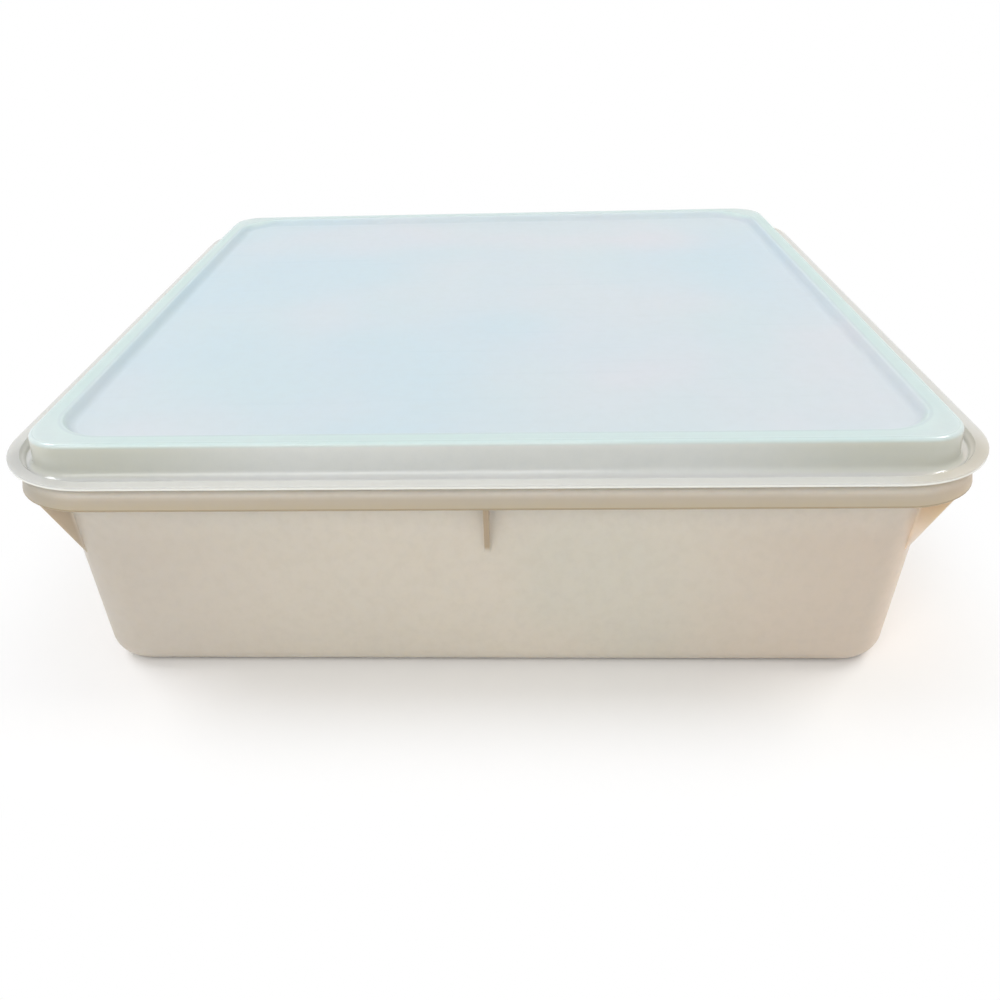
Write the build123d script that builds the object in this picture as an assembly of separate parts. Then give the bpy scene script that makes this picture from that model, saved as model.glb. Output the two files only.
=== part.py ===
from build123d import *
import os
from math import sqrt

# Square food keeper: an open-topped container with a press-on lid, both thin plastic mouldings.
# Every form is a section carried round a rounded square: turned about the centre of each corner
# and run straight along each side. The container's collar stands up from a ledge, the ledge turns
# down into a skirt, and ribs tie the skirt to the wall. The lid is one thin sheet: a recessed
# panel, a raised border with a groove that fits over the collar, an outer wall, and a dished
# flange with a raised lip to pull on.
# Millimetres, +Z up, origin at the middle of the container's footprint.

# Container wall, floor and rolled base edge
container_height = 72.1
base_width = 221.6
base_radius = 13.2
wall_spread = 3.8
base_roll = 7.0
wall_thickness = 2.4
floor_thickness = 2.4
cavity_fillet = 4.5

# Standing ring around the underside
foot_ring_width = 5.5
foot_ring_depth = 0.7

# Collar that stands above the ledge
collar_outset = 3.35
collar_radius = 14.15
collar_thickness = 2.2
collar_height = 8.7
collar_bevel = 0.5
bore_lead_in = 0.4

# Ledge and the skirt that flares down from it
ledge_thickness = 1.7
skirt_overhang = 8.05
skirt_radius = 22.2
skirt_thickness = 1.7
skirt_depth = 5.4
skirt_flare = 1.1
skirt_shoulder = 2.4
skirt_bevel = 0.35

# Ribs under the ledge, one at each corner and one in the middle of each side
rib_thickness = 1.4
corner_rib_height = 25.6
side_rib_height = 23.2
rib_root = 0.6

# Fit of the lid on the container
groove_clearance = 0.3
gutter_clearance = 0.3

# Lid border, outer wall and sealing rib
border_thickness = 1.3
border_radius = 11.0
border_edge_rounding = 1.0
lid_wall_thickness = 1.3
lid_wall_flare = 0.7
lid_wall_foot_rounding = 1.98
lid_wall_foot_width = 2.2
sealing_rib_thickness = 1.3
sealing_rib_depth = 7.0
sealing_rib_taper = 0.5

# Lid panel
panel_recess = 2.3
panel_thickness = 1.3
panel_corner_radius = 14.5
panel_slope = 1.8
panel_foot_rounding = 2.5
panel_edge_rounding = 0.9

# Dished flange: a gutter around the wall, and a raised flat lip outside it
flange_overhang = 9.25
flange_radius = 28.0
gutter_thickness = 1.1
lip_width = 3.0
lip_rise = 1.8
lip_slope = 1.2
lip_thickness = 0.9

# Heights, widths and radii that follow from the sizes above
ledge_top = container_height - collar_height
ledge_underside = ledge_top - ledge_thickness
skirt_bottom = ledge_top - skirt_depth
collar_width = base_width + 2 * collar_outset
skirt_width = collar_width + 2 * skirt_overhang
bore_width = collar_width - 2 * collar_thickness
bore_radius = collar_radius - collar_thickness
lid_top = container_height + border_thickness
border_width = collar_width + 2 * groove_clearance + 2 * lid_wall_thickness
flange_width = border_width + 2 * flange_overhang
groove_radius = border_radius - lid_wall_thickness
panel_top = lid_top - panel_recess
panel_underside = panel_top - panel_thickness
sealing_rib_tip = lid_top - sealing_rib_depth
sealing_rib_radius = bore_radius - groove_clearance
pocket_radius = sealing_rib_radius - sealing_rib_thickness
panel_width = bore_width - 2 * groove_clearance - 2 * sealing_rib_thickness
gutter_underside = ledge_top + gutter_clearance
gutter_top = gutter_underside + gutter_thickness
lip_top = gutter_top + lip_rise
lip_underside = lip_top - lip_thickness

# Distance from the middle to the centres that the corners turn about, along X or Y
wall_centre = base_width / 2 - base_radius
collar_centre = collar_width / 2 - collar_radius
skirt_centre = skirt_width / 2 - skirt_radius
border_centre = border_width / 2 - border_radius
panel_centre = panel_width / 2 - panel_corner_radius
flange_centre = flange_width / 2 - flange_radius


def rounded(points):
    """Lines through points given as reach, height and an optional rounding, with arcs at the roundings."""
    places = [Vector(point[0], point[1]) for point in points]
    edges = []
    here = places[0]
    for index in range(1, len(places)):
        place = places[index]
        rounding = points[index][2] if len(points[index]) > 2 else 0
        if rounding:
            back = (places[index - 1] - place).normalized()
            ahead = (places[index + 1] - place).normalized()
            half_angle = back.get_angle(ahead) / 2
            bisector = (back + ahead).normalized()
            run = rounding / tan_degrees(half_angle)
            centre = place + bisector * sqrt(rounding**2 + run**2)
            start = place + back * run
            finish = place + ahead * run
            edges.append(Line(here, start))
            edges.append(ThreePointArc(start, centre - bisector * rounding, finish))
            here = finish
        else:
            edges.append(Line(here, place))
            here = place
    return edges


def tan_degrees(angle):
    """Tangent of an angle in degrees."""
    leg = Vector(1, 0, 0).rotate(Axis.Z, angle)
    return leg.Y / leg.X


def carried_round(centre, points):
    """Solid whose section is carried round a rounded square. The section's points give the reach
    out from the corner's centre and the height, from the bottom of that centre line to its top."""
    outer = rounded(points)
    low, high = points[0][1], points[-1][1]
    turned_face = make_face(outer + [Line((0, high), (0, low))])
    turned = Pos(centre, centre, 0) * revolve(Plane.XZ * turned_face, Axis.Z, 90)
    right = [Pos(centre, 0) * edge for edge in outer]
    left = [mirror(edge, Plane.YZ) for edge in right]
    across = make_face(right + left + [Line((-centre, low), (centre, low)), Line((-centre, high), (centre, high))])
    bar = extrude(Plane.XZ * across, amount=centre, both=True)
    solid = bar + Rot(0, 0, 90) * bar
    for turn in range(4):
        solid = solid + Rot(0, 0, 90 * turn) * turned
    return solid


def rib(wall_high, wall_low, skirt_high, skirt_low, height):
    """Rib in the XZ plane, from under the ledge down to a point on the wall, rooted in all it meets."""
    top = ledge_underside + rib_root
    tip = ledge_top - height
    points = [
        (wall_high - rib_root, top),
        (skirt_high + rib_root, top),
        (skirt_low + skirt_thickness / 2, skirt_bottom + skirt_bevel),
        (wall_low, tip),
        (wall_low - rib_root, tip),
    ]
    face = Plane.XZ * make_face(Polyline(*points, close=True))
    return extrude(face, amount=rib_thickness / 2, both=True)


def wall_offset_at(z):
    """How far the drafted wall has spread on each side at height z."""
    return wall_spread * z / ledge_top


def side_rib():
    """Rib in the middle of a side."""
    tip = ledge_top - side_rib_height
    wall_high = base_width / 2 + wall_offset_at(ledge_underside)
    wall_low = base_width / 2 + wall_offset_at(tip)
    skirt_low = skirt_width / 2 - skirt_thickness
    skirt_high = skirt_low - skirt_flare
    return rib(wall_high, wall_low, skirt_high, skirt_low, side_rib_height)


def corner_rib():
    """Rib along the diagonal of a corner."""
    tip = ledge_top - corner_rib_height
    base_corner = wall_centre * sqrt(2) + base_radius
    wall_high = base_corner + wall_offset_at(ledge_underside)
    wall_low = base_corner + wall_offset_at(tip)
    skirt_low = skirt_centre * sqrt(2) + skirt_radius - skirt_thickness
    skirt_high = skirt_low - skirt_flare
    return Rot(0, 0, 45) * rib(wall_high, wall_low, skirt_high, skirt_low, corner_rib_height)


def make_container():
    """Container with its wall, collar, ledge, skirt, ribs and hollow inside."""
    wall = carried_round(wall_centre, [
        (0, 0),
        (base_radius, 0, base_roll),
        (base_radius + wall_spread, ledge_top),
        (0, ledge_top),
    ])
    skirt = carried_round(skirt_centre, [
        (0, skirt_bottom),
        (skirt_radius - skirt_bevel, skirt_bottom),
        (skirt_radius, skirt_bottom + skirt_bevel),
        (skirt_radius - skirt_flare, ledge_top, skirt_shoulder),
        (0, ledge_top),
    ])
    under_ledge = carried_round(skirt_centre, [
        (0, skirt_bottom),
        (skirt_radius - skirt_thickness, skirt_bottom),
        (skirt_radius - skirt_flare - skirt_thickness, ledge_underside),
        (0, ledge_underside),
    ])
    collar = carried_round(collar_centre, [
        (0, ledge_underside),
        (collar_radius, ledge_underside),
        (collar_radius, container_height - collar_bevel),
        (collar_radius - collar_bevel, container_height),
        (0, container_height),
    ])
    body = wall + (skirt - under_ledge) + collar
    for turn in range(4):
        body = body + Rot(0, 0, 90 * turn) * side_rib()
        body = body + Rot(0, 0, 90 * turn) * corner_rib()
    cavity = carried_round(collar_centre, [
        (0, floor_thickness),
        (base_width / 2 - wall_thickness - collar_centre, floor_thickness, cavity_fillet),
        (bore_radius, ledge_top),
        (bore_radius, container_height - bore_lead_in),
        (bore_radius + bore_lead_in, container_height),
        (0, container_height),
    ])
    ring_inside = base_radius - base_roll - foot_ring_width
    hollow = carried_round(wall_centre + ring_inside - base_radius / 2, [
        (0, 0),
        (base_radius / 2, 0),
        (base_radius / 2, foot_ring_depth),
        (0, foot_ring_depth),
    ])
    return body - cavity - hollow


def make_lid():
    """Lid with its dished flange, outer wall, grooved border, sealing rib and recessed panel."""
    foot_reach = border_radius + lid_wall_flare
    cap = carried_round(border_centre, [
        (0, gutter_underside),
        (foot_reach + lid_wall_foot_width, gutter_underside),
        (foot_reach + lid_wall_foot_width, gutter_top),
        (foot_reach, gutter_top, lid_wall_foot_rounding),
        (border_radius, lid_top, border_edge_rounding),
        (0, lid_top),
    ])
    ridge = flange_radius - lip_width
    dish = carried_round(flange_centre, [
        (0, gutter_underside),
        (ridge - lip_slope + lip_thickness / 2, gutter_underside),
        (ridge + lip_thickness / 2, lip_underside),
        (flange_radius, lip_underside),
        (flange_radius, lip_top),
        (ridge, lip_top),
        (ridge - lip_slope, gutter_top),
        (0, gutter_top),
    ])
    groove = carried_round(border_centre, [
        (0, gutter_underside),
        (groove_radius + lid_wall_flare, gutter_underside),
        (groove_radius, container_height),
        (0, container_height),
    ])
    sealing_rib = carried_round(collar_centre, [
        (0, sealing_rib_tip),
        (sealing_rib_radius, sealing_rib_tip),
        (sealing_rib_radius, lid_top),
        (0, lid_top),
    ])
    pocket = carried_round(collar_centre, [
        (0, sealing_rib_tip),
        (pocket_radius + sealing_rib_taper, sealing_rib_tip),
        (pocket_radius, panel_underside),
        (0, panel_underside),
    ])
    recess = carried_round(panel_centre, [
        (0, panel_top),
        (panel_corner_radius - panel_slope, panel_top, panel_foot_rounding),
        (panel_corner_radius, lid_top, panel_edge_rounding),
        (panel_corner_radius + panel_slope, lid_top),
        (panel_corner_radius + panel_slope, lid_top + panel_recess),
        (0, lid_top + panel_recess),
    ])
    return cap + dish - (groove - sealing_rib) - pocket - recess


def main():
    """Build both pieces and write one file for each."""
    os.makedirs("parts", exist_ok=True)
    pieces = {"container": make_container(), "lid": make_lid()}
    for name, solid in pieces.items():
        solid.label = name
        export_step(solid, "parts/" + name + ".step")
        box = solid.bounding_box()
        print(name, "solids", len(solid.solids()), "volume", round(solid.volume), "top", round(box.max.Z, 2))


main()
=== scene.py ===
import math

import bpy
from mathutils import Matrix, Vector


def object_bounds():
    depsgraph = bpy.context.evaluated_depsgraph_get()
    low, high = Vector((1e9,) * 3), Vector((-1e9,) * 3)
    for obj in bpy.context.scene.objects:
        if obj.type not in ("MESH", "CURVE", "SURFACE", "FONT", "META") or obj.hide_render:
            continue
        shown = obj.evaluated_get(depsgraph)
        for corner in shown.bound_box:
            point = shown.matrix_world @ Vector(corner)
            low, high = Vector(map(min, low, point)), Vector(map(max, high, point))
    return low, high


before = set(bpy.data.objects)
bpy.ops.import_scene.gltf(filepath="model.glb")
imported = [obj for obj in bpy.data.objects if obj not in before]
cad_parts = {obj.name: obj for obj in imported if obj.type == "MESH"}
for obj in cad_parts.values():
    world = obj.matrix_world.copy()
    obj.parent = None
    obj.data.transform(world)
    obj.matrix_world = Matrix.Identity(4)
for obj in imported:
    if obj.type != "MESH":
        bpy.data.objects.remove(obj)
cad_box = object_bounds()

# Sizes in metres, in the shared frame: origin at the middle of the footprint, +Z up.
MM = 0.001
HALF_WIDTH = cad_box[1][0]
LID_TOP = cad_box[1][2]

# Heights of the lid's and the container's edges, worked down from the lid's top.
LIP_TOP = LID_TOP - 6.8 * MM
GUTTER_TOP = LID_TOP - 8.6 * MM
LEDGE_TOP = LID_TOP - 10.0 * MM
LEDGE_UNDERSIDE = LEDGE_TOP - 1.7 * MM
SKIRT_BOTTOM = LEDGE_TOP - 5.4 * MM

# How far from the middle, along X or Y, each form's corners turn about.
PANEL_CENTRE = HALF_WIDTH - 29.15 * MM
BORDER_CENTRE = HALF_WIDTH - 20.25 * MM
FLANGE_CENTRE = HALF_WIDTH - 28.0 * MM
SKIRT_CENTRE = HALF_WIDTH - 25.0 * MM
WALL_CENTRE = HALF_WIDTH - 27.4 * MM

# The container wall's reach from the middle at the base, and how much it spreads for its height.
WALL_REACH = HALF_WIDTH - 14.2 * MM
WALL_SPREAD = 0.0599

# Where one surface gives way to the next, as the reach at which the change starts and ends.
SCRATCHED_AREA_EDGE = (0.1070, 0.1090)
PANEL_SLOPE = (0.1098, 0.1116)
BORDER_ROUNDING = (0.1135, 0.1158)
BORDER_EDGE = (0.1150, 0.1156)
LID_WALL_FOOT = (0.1166, 0.1178)
LIP_SLOPE = (0.1212, 0.1220)
# The lip's outer edge, where a painted highlight runs.
LIP_RIM_HIGHLIGHT = (0.1243, 0.1248)
SKIRT_FACE = (0.1188, 0.1194)
# The skirt's bottom edge, where a painted shadow runs.
SKIRT_EDGE_SHADOW = (0.1192, 0.1200)

# The same for a rib, as the distance out from the wall.
RIB_ROOT = (0.2 * MM, 1.0 * MM)

# The painted shade lines at the panel's edge and in the crease where the gutter meets the lip: reach and
# half width.
PANEL_SHADE_LINE = (0.1110, 0.0008)
GUTTER_CREASE_SHADE = (0.12085, 0.0006)

WHITE = (1.0, 1.0, 1.0, 1.0)


class Number:
    """A number that varies over a surface, to be used in ordinary sums."""

    def __init__(self, nodes, socket):
        self.nodes = nodes
        self.socket = socket

    def math(self, operation, *others):
        return self.nodes.sum_of(operation, self, *others)

    def __add__(self, other):
        return self.math("ADD", other)

    def __sub__(self, other):
        return self.math("SUBTRACT", other)

    def __rsub__(self, other):
        return self.nodes.sum_of("SUBTRACT", other, self)

    def __mul__(self, other):
        return self.math("MULTIPLY", other)

    __radd__ = __add__

    def size(self):
        return self.math("ABSOLUTE")

    def root(self):
        return self.math("SQRT")

    def larger(self, other):
        return self.math("MAXIMUM", other)

    def smaller(self, other):
        return self.math("MINIMUM", other)

    def ramp(self, low, high):
        """0 below low, 1 above high and a smooth rise between."""
        values = {"Value": self, "From Min": low, "From Max": high}
        return self.nodes.add("ShaderNodeMapRange", {"interpolation_type": "SMOOTHSTEP"}, values).number(0)

    def near(self, centre, width):
        """1 at centre, falling smoothly to 0 at width on either side."""
        return 1.0 - (self - centre).size().ramp(0.0, width)


class Added:
    """A node that has just been added, with its outputs at hand."""

    def __init__(self, nodes, node):
        self.nodes = nodes
        self.node = node

    def socket(self, name):
        return self.node.outputs[name]

    def number(self, name):
        return Number(self.nodes, self.node.outputs[name])


class Nodes:
    """The nodes of a finish or of the surroundings."""

    def __init__(self, owner):
        owner.use_nodes = True
        self.tree = owner.node_tree
        self.tree.nodes.clear()

    def add(self, kind, settings=None, values=None):
        """Adds one node: its settings first, then the values or links of its sockets."""
        node = self.tree.nodes.new(kind)
        for key, setting in (settings or {}).items():
            setattr(node, key, setting)
        for key, value in (values or {}).items():
            if isinstance(value, Number):
                self.tree.links.new(value.socket, node.inputs[key])
            elif isinstance(value, bpy.types.NodeSocket):
                self.tree.links.new(value, node.inputs[key])
            else:
                node.inputs[key].default_value = value
        return Added(self, node)

    def sum_of(self, operation, *parts):
        return self.add("ShaderNodeMath", {"operation": operation}, dict(enumerate(parts))).number(0)

    def seen(self):
        """1 where the camera, a reflection or clear plastic looks, and 0 for light that is on its way."""
        path = self.add("ShaderNodeLightPath")
        straight = path.number("Is Camera Ray").larger(path.number("Is Glossy Ray"))
        return straight.larger(path.number("Is Transmission Ray"))


class Finish(Nodes):
    """The finish of one kind of surface."""

    def __init__(self, name):
        self.material = bpy.data.materials.new(name)
        super().__init__(self.material)
        self.place = self.add("ShaderNodeTexCoord").socket("Object")
        parts = self.add("ShaderNodeSeparateXYZ", None, {0: self.place})
        self.x, self.y, self.z = parts.number(0), parts.number(1), parts.number(2)

    def reach(self, centre):
        """Distance out from the middle, carried round corners that turn about centre."""
        along_x = (self.x.size() - centre).larger(0.0)
        along_y = (self.y.size() - centre).larger(0.0)
        return (along_x * along_x + along_y * along_y).root() + centre

    def corner(self, low, high):
        """0 along the sides and 1 at the corners, where both X and Y are beyond low to high."""
        return self.x.size().smaller(self.y.size()).ramp(low, high)

    def above(self, low, high):
        """0 below the height low and 1 above high."""
        return self.z.ramp(low, high)

    def below(self, low, high):
        """1 below the height low and 0 above high."""
        return 1.0 - self.z.ramp(low, high)

    def leftward(self, low, high):
        """0 up to low and 1 beyond high, going left from the middle."""
        return (0.0 - self.x).ramp(low, high)

    def rightward(self, low, high):
        """0 up to low and 1 beyond high, going right from the middle."""
        return self.x.ramp(low, high)

    def noise(self, cell, detail=2.0, roughness=0.5, stretch=None):
        """Noise from 0 to 1, whose patches are about one cell across, in metres."""
        where = self.place
        if stretch is not None:
            where = self.add("ShaderNodeMapping", {"vector_type": "POINT"}, {0: where, 3: stretch}).socket(0)
        values = {"Vector": where, "Scale": 1.0 / cell, "Detail": detail, "Roughness": roughness}
        return self.add("ShaderNodeTexNoise", {"normalize": True}, values).number(0)

    def blend(self, share, below, above):
        """A colour between two others, by share."""
        settings = {"data_type": "RGBA", "blend_type": "MIX", "clamp_factor": True}
        return self.add("ShaderNodeMix", settings, {0: share, 6: below, 7: above}).socket(2)

    def relief(self, height, depth, strength, over=None):
        """Surface relief from a height of 0 to 1, depth metres deep, on top of another relief."""
        values = {"Height": height, "Distance": depth, "Strength": strength}
        if over is not None:
            values["Normal"] = over
        return self.add("ShaderNodeBump", None, values).socket(0)

    def moulded(self, tone, rough, wave, light_within):
        """Smooth moulded plastic with fine grain, gentle waves and light under its surface."""
        grain = self.relief(self.noise(0.9 * MM, 3.0, 0.6), 0.03 * MM, 0.5)
        cell, depth, strength = wave
        normal = self.relief(self.noise(cell, 1.0, 0.4), depth, strength, grain)
        share, colour, distance = light_within
        shader = self.add("ShaderNodeBsdfPrincipled", None, {
            "Base Color": tone, "Roughness": rough, "Normal": normal, "IOR": 1.5,
            "Subsurface Weight": share, "Subsurface Radius": colour, "Subsurface Scale": distance,
        })
        return self.covered_by(shader.socket(0))

    def covered_by(self, shader):
        self.add("ShaderNodeOutputMaterial", None, {"Surface": shader})
        return self.material


def shade(red, green, blue):
    """A colour as it looks on a screen, 0 to 255, turned into the shader's own units."""
    parts = []
    for part in (red, green, blue):
        share = part / 255
        parts.append(share / 12.92 if share <= 0.04045 else ((share + 0.055) / 1.055) ** 2.4)
    return (*parts, 1.0)


def lid_top(finish, tint, corner):
    """The lid's panel and the border round it."""
    bluish, pinkish, greenish = shade(194, 214, 223), shade(211, 213, 219), shade(197, 216, 219)
    cloud = finish.noise(0.085, 3.0, 0.55)
    panel = finish.blend(tint.ramp(0.36, 0.64), bluish, pinkish)
    panel = finish.blend(cloud.ramp(0.3, 0.7) * 0.6, panel, greenish)

    border = finish.blend(cloud.ramp(0.35, 0.65), shade(195, 217, 213), shade(199, 218, 216))
    border = finish.blend(corner * 0.8, border, shade(204, 218, 216))

    reach = finish.reach(PANEL_CENTRE)
    top = finish.blend((reach + corner * 0.002).ramp(*PANEL_SLOPE), panel, border)
    # Painted shade: a darker line along the foot of the panel's slope.
    return finish.blend(reach.near(*PANEL_SHADE_LINE) * 0.6, top, shade(186, 201, 204))


def lid_wall(finish, tint):
    """The lid's outer wall, yellower at its ends, with painted light on its lower part above the gutter."""
    ends = finish.x.size().ramp(0.045, 0.100)
    wall = finish.blend(ends, shade(223, 225, 219), shade(199, 200, 183))
    wall = finish.blend(tint.ramp(0.35, 0.65) * 0.4, wall, shade(203, 205, 199))
    # Painted light: the wall's lower part is lighter, against the shade above the gutter.
    painted_light_foot = finish.blend(ends, shade(229, 231, 226), shade(212, 213, 202))
    return finish.blend(finish.above(GUTTER_TOP + 0.4 * MM, LID_TOP - 2.0 * MM), painted_light_foot, wall)


def lid_flange(finish, body, corner):
    """The gutter round the lid's wall, with painted shade in its crease, and the raised lip outside it with
    a painted highlight along its outer edge.
    """
    across = finish.rightward(-0.09, 0.09)
    gutter_end = finish.blend(across, shade(211, 212, 209), shade(223, 218, 208))
    gutter = finish.blend(corner, shade(214, 214, 211), gutter_end)
    body = finish.blend(finish.reach(BORDER_CENTRE).ramp(*LID_WALL_FOOT), body, gutter)

    reach = finish.reach(FLANGE_CENTRE)
    # Painted shade: a darker line in the crease where the gutter meets the lip.
    crease_shade = reach.near(*GUTTER_CREASE_SHADE) * finish.below(GUTTER_TOP + 0.4 * MM, GUTTER_TOP + 1.2 * MM)
    body = finish.blend(crease_shade * 0.7, body, shade(180, 181, 176))

    lip_end = finish.blend(across, shade(181, 182, 180), shade(191, 184, 170))
    lip = finish.blend(corner * 0.85, shade(196, 197, 193), lip_end)
    body = finish.blend(reach.ramp(*LIP_SLOPE), body, lip)
    # Painted highlight along the lower part of the lip's outer edge.
    rim_highlight = reach.ramp(*LIP_RIM_HIGHLIGHT) * finish.below(LIP_TOP - 0.6 * MM, LIP_TOP - 0.2 * MM)
    return finish.blend(rim_highlight * 0.9, body, shade(232, 234, 224))


def lid_plastic():
    """Cloudy off-white plastic, cool on the panel and border, greyer on the wall and flange."""
    finish = Finish("lid_plastic")
    tint = finish.noise(0.130, 2.0, 0.5)
    corner = finish.corner(0.090, 0.112)
    reach = finish.reach(BORDER_CENTRE)
    beside = reach.ramp(*BORDER_EDGE) * finish.below(LID_TOP - 1.4 * MM, LID_TOP - 0.2 * MM)
    body = finish.blend(beside, lid_top(finish, tint, corner), lid_wall(finish, tint))
    body = lid_flange(finish, body, corner)
    speck = finish.noise(3.5 * MM, 3.0, 0.6)
    tone = finish.blend(speck.ramp(0.35, 0.75) * 0.10, body, shade(190, 197, 197))

    scuff = finish.noise(12.0 * MM, 4.0, 0.65, (1.0, 0.18, 1.0))
    scratch = finish.noise(3.0 * MM, 2.0, 0.5, (0.04, 1.0, 1.0)).ramp(0.64, 0.72)
    on_panel = 1.0 - finish.reach(PANEL_CENTRE).ramp(*SCRATCHED_AREA_EDGE)
    worn = 0.38 + scuff * 0.14 + scratch * on_panel * 0.10
    rough = worn * (1.0 - reach.ramp(*BORDER_ROUNDING) * 0.84)
    wave = (0.045, 0.5 * MM, 0.30)
    light_within = (0.5, (0.85, 0.8, 0.7), 6.0 * MM)
    return finish.moulded(tone, rough, wave, light_within)


def container_wall(finish):
    """The container's wall, cooler to the left and warmer to the right, with a painted highlight on its
    right-hand corner and painted light on its top under the ledge.
    """
    cloud = finish.noise(0.110, 3.0, 0.55)
    tint = finish.noise(0.085, 2.0, 0.5)
    wall = finish.blend(cloud.ramp(0.3, 0.7), shade(209, 201, 187), shade(215, 206, 191))
    wall = finish.blend(tint.ramp(0.46, 0.64) * 0.6, wall, shade(203, 200, 187))
    wall = finish.blend(finish.leftward(0.030, 0.105) * 0.8, wall, shade(194, 185, 173))
    wall = finish.blend(finish.rightward(0.030, 0.105) * 0.8, wall, shade(202, 186, 170))
    # Painted highlight on the wall's right-hand rounded corner.
    wall = finish.blend(finish.rightward(0.101, 0.111) * 0.85, wall, shade(240, 217, 196))
    # Painted light: the wall's top is lighter, against the shade under the ledge and skirt.
    return finish.blend(finish.above(0.042, SKIRT_BOTTOM) * 0.7, wall, shade(229, 222, 210))


def container_ribs(finish, wall):
    """The ribs under the ledge, browner than the wall as painted shade and painted light let through them,
    with painted light on their lower tips at the corners.
    """
    across = finish.rightward(-0.08, 0.10)
    corner = finish.corner(0.08, 0.10)
    # Painted shade and painted light let through the ribs: browner than the wall, warmer to the right.
    corner_rib_shade = finish.blend(across, shade(187, 173, 154), shade(216, 190, 160))
    rib_shade = finish.blend(corner, shade(166, 148, 124), corner_rib_shade)
    # Painted light on the lower tips of the corner ribs.
    rib_tip_light = finish.blend(across, shade(182, 170, 153), shade(234, 218, 206))
    rib_shade = finish.blend(corner * finish.below(0.040, 0.054), rib_shade, rib_tip_light)
    beyond = finish.reach(WALL_CENTRE) - finish.z * WALL_SPREAD - WALL_REACH
    under_ledge = finish.below(SKIRT_BOTTOM + 0.8 * MM, LEDGE_UNDERSIDE)
    return finish.blend(beyond.ramp(*RIB_ROOT) * under_ledge, wall, rib_shade)


def container_skirt(finish, body):
    """The turned-down skirt, painted lighter towards its top and darker towards its bottom as painted light
    and shade, with a painted shadow along its bottom edge.
    """
    # Painted light and shade: the skirt darker at its bottom and lighter towards its top.
    low = finish.above(SKIRT_BOTTOM + 0.4 * MM, SKIRT_BOTTOM + 3.0 * MM)
    skirt = finish.blend(low, shade(182, 172, 150), shade(187, 177, 160))
    high = finish.above(SKIRT_BOTTOM + 2.6 * MM, LEDGE_TOP - 1.0 * MM)
    skirt = finish.blend(high * 0.8, skirt, shade(218, 211, 200))
    lit_skirt_top = finish.above(LEDGE_TOP - 1.8 * MM, LEDGE_TOP - 0.4 * MM)
    skirt = finish.blend(lit_skirt_top, skirt, shade(226, 219, 208))
    skirt = finish.blend(finish.leftward(0.100, 0.118) * 0.8, skirt, shade(168, 162, 149))
    skirt = finish.blend(finish.rightward(0.100, 0.118) * 0.6, skirt, shade(206, 186, 161))

    reach = finish.reach(SKIRT_CENTRE)
    from_bottom = finish.above(SKIRT_BOTTOM - 0.4 * MM, SKIRT_BOTTOM)
    body = finish.blend(reach.ramp(*SKIRT_FACE) * from_bottom, body, skirt)
    # Painted shadow along the skirt's bottom edge.
    skirt_edge_shadow = from_bottom * finish.below(SKIRT_BOTTOM + 0.5 * MM, SKIRT_BOTTOM + 0.8 * MM)
    return finish.blend(reach.ramp(*SKIRT_EDGE_SHADOW) * skirt_edge_shadow * 0.8, body, shade(146, 130, 106))


def container_plastic():
    """Cloudy cream plastic, with painted shade browning the skirt and the ribs, painted light let through
    the ribs, and a painted contact shadow along the foot.
    """
    finish = Finish("container_plastic")
    body = container_ribs(finish, container_wall(finish))
    body = container_skirt(finish, body)
    # Painted contact shadow: darker along the bottom 1.3 mm of the foot.
    body = finish.blend(finish.below(0.4 * MM, 1.3 * MM) * 0.75, body, shade(146, 133, 118))
    speck = finish.noise(3.0 * MM, 3.0, 0.6)
    tone = finish.blend(speck.ramp(0.35, 0.75) * 0.12, body, shade(176, 168, 154))

    scuff = finish.noise(10.0 * MM, 4.0, 0.65, (0.25, 1.0, 1.0))
    scratch = finish.noise(3.0 * MM, 2.0, 0.5, (0.04, 0.04, 1.0)).ramp(0.64, 0.72)
    rough = 0.36 + scuff * 0.16 + scratch * 0.10
    wave = (0.050, 0.7 * MM, 0.35)
    light_within = (0.4, (1.0, 0.8, 0.55), 5.0 * MM)
    return finish.moulded(tone, rough, wave, light_within)


def dress(node, material):
    """Gives a moulded piece its finish."""
    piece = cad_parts[node]
    piece.data.materials.clear()
    piece.data.materials.append(material)


def make_camera():
    """The photograph's viewpoint: above the front edge, a little to the right, looking down."""
    data = bpy.data.cameras.new("camera")
    data.sensor_width = 36.0
    data.lens = 33.85
    data.shift_x = 0.0345
    data.shift_y = 0.0130
    data.clip_start = 0.01
    data.clip_end = 50.0
    pitch, yaw, roll = math.radians(30.682), math.radians(-3.087), math.radians(1.849)
    ahead = Vector((math.sin(yaw) * math.cos(pitch), math.cos(yaw) * math.cos(pitch), -math.sin(pitch)))
    right = Vector((math.cos(yaw), -math.sin(yaw), 0.0))
    up = right.cross(ahead)
    turned_right = math.cos(roll) * right - math.sin(roll) * up
    turned_up = math.sin(roll) * right + math.cos(roll) * up
    camera = bpy.data.objects.new("camera", data)
    axes = Matrix((turned_right, turned_up, -ahead)).transposed()
    camera.matrix_world = Matrix.Translation((0.0057, -0.3176, 0.1736)) @ axes.to_4x4()
    bpy.context.scene.collection.objects.link(camera)
    bpy.context.scene.camera = camera


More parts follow.
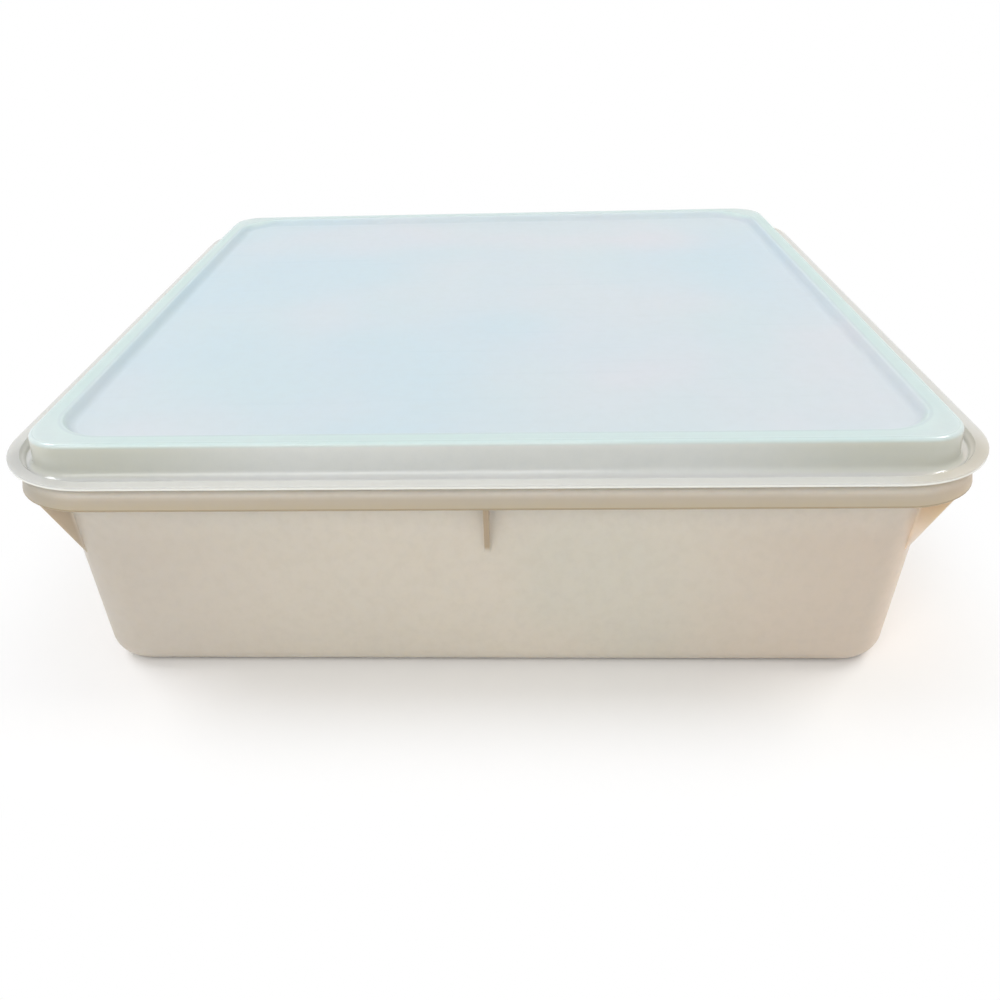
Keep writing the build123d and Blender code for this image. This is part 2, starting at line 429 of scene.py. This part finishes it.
def add_lamp(name, place, length, width, power, tone):
    """A soft lamp that faces the keeper, its length level."""
    data = bpy.data.lights.new(name, "AREA")
    data.shape = "RECTANGLE"
    data.size, data.size_y = length, width
    data.energy = power
    data.color = tone
    lamp = bpy.data.objects.new(name, data)
    lamp.location = place
    lamp.rotation_mode = "QUATERNION"
    lamp.rotation_quaternion = (Vector((0.0, 0.0, 0.05)) - Vector(place)).to_track_quat("-Z", "Y")
    bpy.context.scene.collection.objects.link(lamp)


def make_floor():
    """Plain white floor that keeps the soft shadow near the keeper."""
    half = 6.0
    corners = [(-half, -half, 0), (half, -half, 0), (half, half, 0), (-half, half, 0)]
    mesh = bpy.data.meshes.new("floor")
    mesh.from_pydata(corners, [], [(0, 1, 2, 3)])
    floor = bpy.data.objects.new("floor", mesh)
    bpy.context.scene.collection.objects.link(floor)
    finish = Finish("floor")
    matt = finish.add("ShaderNodeBsdfDiffuse", None, {"Color": (0.97, 0.97, 0.97, 1.0)}).socket(0)
    bright = finish.add("ShaderNodeEmission", None, {"Color": WHITE, "Strength": 1.0}).socket(0)
    away = finish.reach(0.090).ramp(0.113, 0.170)
    cover = finish.add("ShaderNodeMixShader", None, {0: away * finish.seen(), 1: matt, 2: bright})
    mesh.materials.append(finish.covered_by(cover.socket(0)))


def make_surroundings():
    """Even pale surroundings, white where they are seen."""
    world = bpy.data.worlds.new("surroundings")
    nodes = Nodes(world)
    soft = nodes.add("ShaderNodeBackground", None, {"Color": WHITE, "Strength": 0.47}).socket(0)
    bright = nodes.add("ShaderNodeBackground", None, {"Color": WHITE, "Strength": 1.0}).socket(0)
    cover = nodes.add("ShaderNodeMixShader", None, {0: nodes.seen(), 1: soft, 2: bright})
    nodes.add("ShaderNodeOutputWorld", None, {"Surface": cover.socket(0)})
    bpy.context.scene.world = world


make_camera()
dress("container", container_plastic())
dress("lid", lid_plastic())
make_floor()
make_surroundings()
add_lamp("front", (-0.30, -1.10, 0.95), 1.0, 0.8, 7.3, (1.0, 0.99, 0.97))
add_lamp("left", (-0.78, 0.16, 0.98), 0.7, 0.24, 5.0, (0.96, 0.96, 1.0))
add_lamp("right", (0.78, 0.16, 0.98), 0.7, 0.24, 5.0, (1.0, 0.98, 0.95))

bpy.context.scene.view_settings.view_transform = "Standard"
